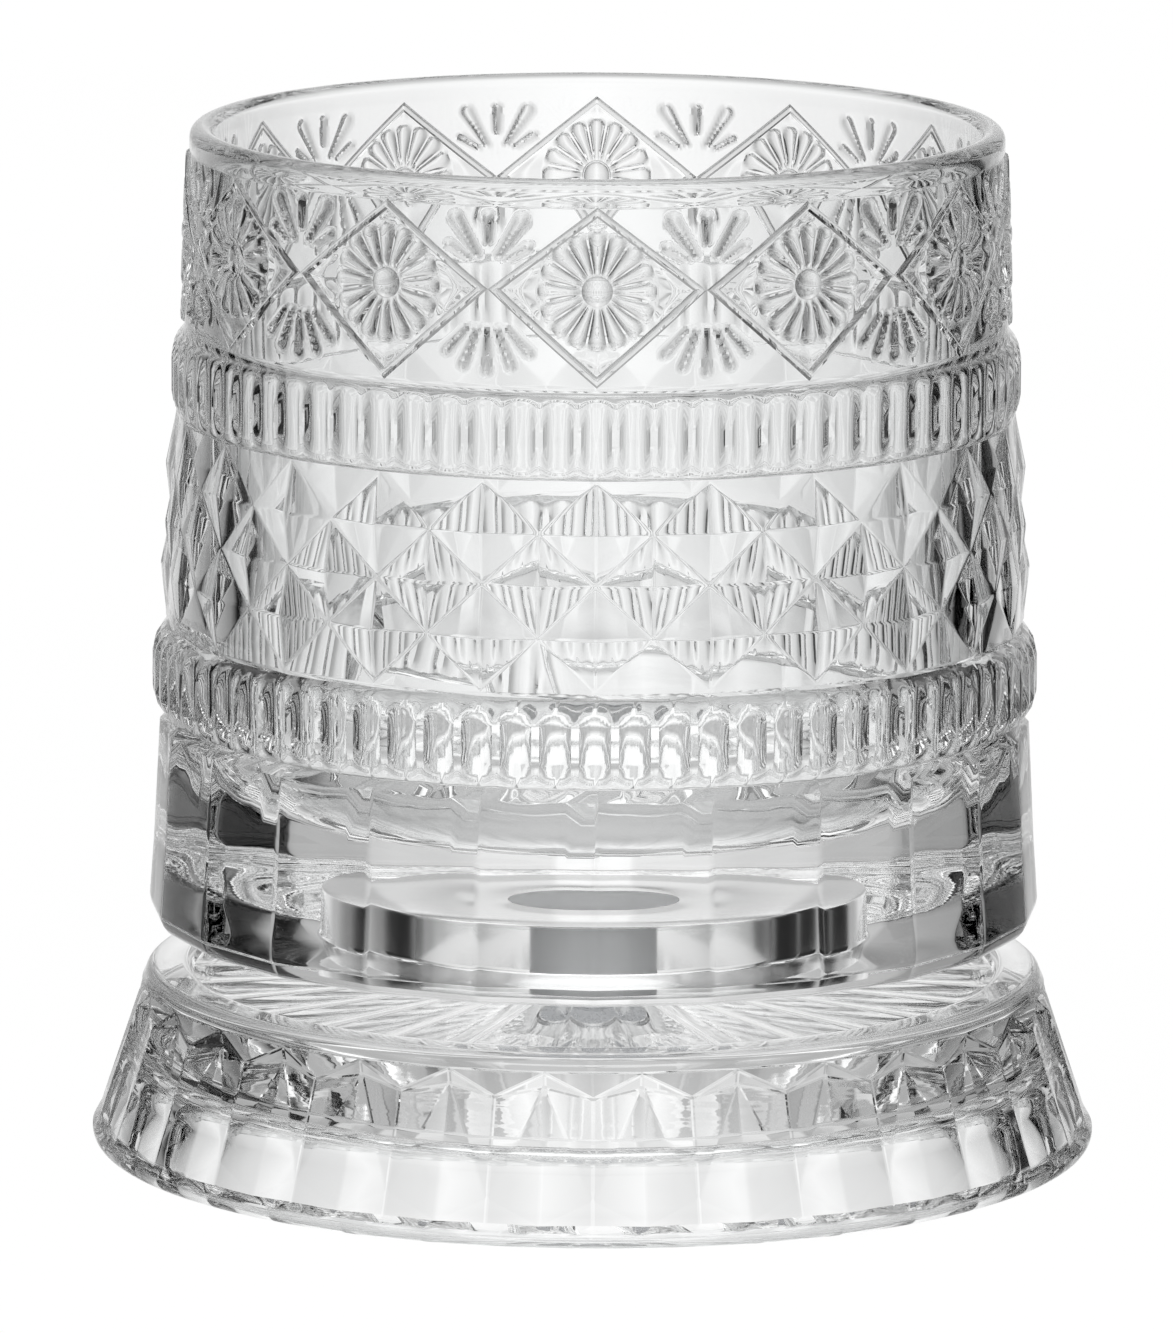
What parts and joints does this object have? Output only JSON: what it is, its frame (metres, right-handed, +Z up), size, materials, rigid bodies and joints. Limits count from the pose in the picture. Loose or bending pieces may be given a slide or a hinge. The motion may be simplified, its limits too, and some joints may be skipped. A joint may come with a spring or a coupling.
{
  "type": "spinning whiskey tumbler with coaster",
  "caption": "Pressed-glass whiskey tumbler that spins on a ball bearing above its own flared glass coaster and lifts off it.",
  "frame": {"origin": "centre of the coaster's foot, on the surface it stands on", "axes": "+Z up along the axis the tumbler spins about; -Y is the front, where a framed flower and a coaster ridge both face"},
  "size_m": [0.1008, 0.1008, 0.1027],
  "materials": {
    "coaster_glass": "clear colourless pressed glass, fire polished",
    "tumbler_glass": "clear colourless pressed glass, fire polished",
    "turned_steel": "turned stainless steel",
    "bearing_steel": "ground bearing steel",
    "ball_chrome": "polished steel balls",
    "cage_brass": "stamped brass",
    "shield_steel": "pressed stainless sheet"
  },
  "bodies": {
    "coaster_assembly": {"coaster": "coaster_glass", "spindle": "turned_steel"},
    "bearing_core": {"bearing_inner_ring": "bearing_steel"},
    "ball_set": {"bearing_balls": "ball_chrome", "bearing_cage": "cage_brass"},
    "tumbler_assembly": {"tumbler": "tumbler_glass", "bearing_housing": "turned_steel", "bearing_outer_ring": "bearing_steel", "bearing_lower_shield": "shield_steel", "bearing_upper_shield": "shield_steel"}
  },
  "joints": [
    {"name": "lift", "type": "slide", "parent": "coaster_assembly", "child": "bearing_core", "axis": [0, 0, 1], "range_m": [0, 0.05]},
    {"name": "spin", "type": "hinge", "parent": "bearing_core", "child": "tumbler_assembly", "pos_m": [0, 0, 0.0228], "axis": [0, 0, 1], "continuous": true},
    {"name": "ball_orbit", "type": "hinge", "parent": "bearing_core", "child": "ball_set", "pos_m": [0, 0, 0.0228], "axis": [0, 0, 1], "continuous": true}
  ],
  "couplings": [
    {"joint": "ball_orbit", "follows": "spin", "ratio": 0.60667}
  ]
}
